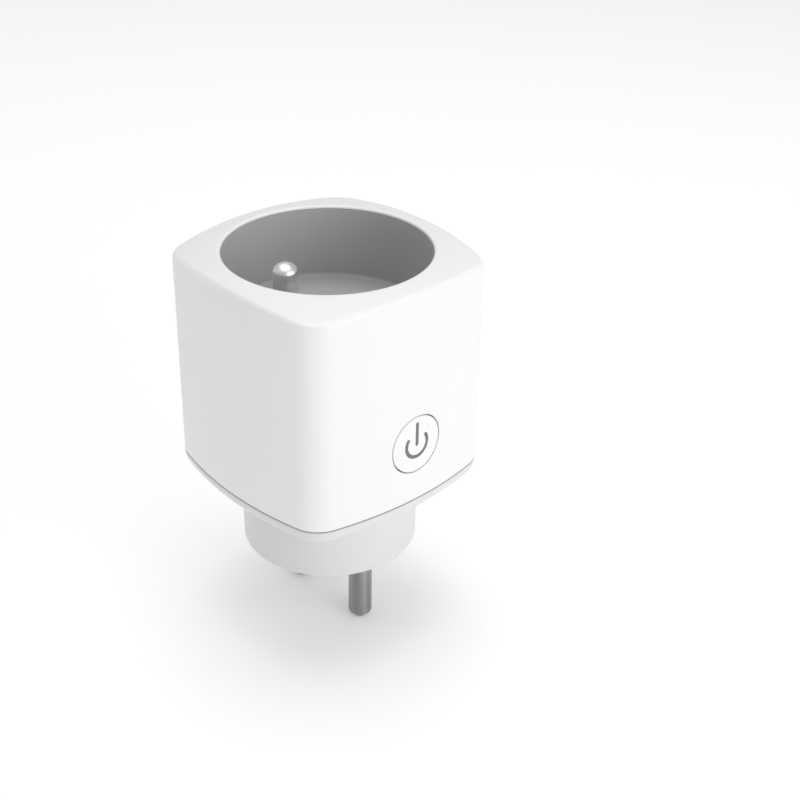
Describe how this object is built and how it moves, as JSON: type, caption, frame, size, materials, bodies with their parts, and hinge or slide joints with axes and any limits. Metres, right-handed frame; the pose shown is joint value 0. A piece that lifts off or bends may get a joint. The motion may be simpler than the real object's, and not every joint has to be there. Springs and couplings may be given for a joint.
{
  "type": "smart plug",
  "caption": "Rounded-square mains smart plug with a round earthed socket recess in its top, two round plug pins on a round boss below, and a power button on its side.",
  "frame": {"origin": "centre of the boss's flat engagement face, midway between the two plug pins", "axes": "+Z out of the wall, towards the socket recess; -Y through the side with the power button; -X towards the earth pin; the plug pins lie on Y"},
  "size_m": [0.0488, 0.0488, 0.0797],
  "materials": {
    "white_shell": "satin moulded polycarbonate",
    "white_button": "satin moulded polycarbonate",
    "symbol_grey": "printed mark",
    "cup_grey": "moulded, fine grained",
    "shutter_grey": "moulded, smooth",
    "spring_steel": "drawn wire",
    "carrier_black": "glass-filled polyamide",
    "nickel": "nickel-plated brass, satin",
    "brass": "rolled strip",
    "board_green": "solder mask",
    "relay_case": "sealed case",
    "film_box": "potted box",
    "can_sleeve": "shrunk sleeve",
    "varistor_blue": "dipped coating",
    "winding_tape": "polyester tape",
    "chip_black": "moulded epoxy",
    "resistor_body": "ceramic coating",
    "tin_plate": "tin plate",
    "plunger_black": "moulded",
    "led_lens": "clear epoxy over a phosphor",
    "screw_steel": "zinc-plated"
  },
  "bodies": {
    "housing": {"front_housing": "white_shell", "back_cover": "white_shell", "socket_cup": "cup_grey", "shutter_spring": "spring_steel", "contact_carrier": "carrier_black", "earth_pin": "nickel", "live_plug_pin": "nickel", "neutral_plug_pin": "nickel", "live_contact": "brass", "neutral_contact": "brass", "rear_earth_contact": "brass", "earth_bar": "brass", "main_board": "board_green", "radio_board": "board_green", "button_board": "board_green", "relay": "relay_case", "filter_capacitor": "film_box", "electrolytic_capacitors": "can_sleeve", "varistor": "varistor_blue", "transformer": "winding_tape", "bridge_rectifier": "chip_black", "fuse_resistor": "resistor_body", "radio_shield": "tin_plate", "switch_body": "chip_black", "status_led": "led_lens", "case_screws": "screw_steel", "carrier_screws": "screw_steel"},
    "power_button": {"power_button": "white_button", "button_symbol": "symbol_grey"},
    "switch_plunger": {"switch_plunger": "plunger_black"},
    "shutter": {"shutter": "shutter_grey"}
  },
  "joints": [
    {"name": "power_button_press", "type": "slide", "parent": "housing", "child": "power_button", "axis": [0, 1, 0], "range_m": [0, 0.0004], "stiffness_N_per_m": 1500, "springref_m": -0.0006},
    {"name": "switch_plunger_press", "type": "slide", "parent": "housing", "child": "switch_plunger", "axis": [0, 1, 0], "range_m": [0, 0.0004]},
    {"name": "shutter_slide", "type": "slide", "parent": "housing", "child": "shutter", "axis": [1, 0, 0], "range_m": [0, 0.006], "stiffness_N_per_m": 60, "springref_m": -0.004, "deforming": ["shutter_spring"]}
  ],
  "couplings": [
    {"joint": "switch_plunger_press", "follows": "power_button_press", "ratio": 1}
  ]
}
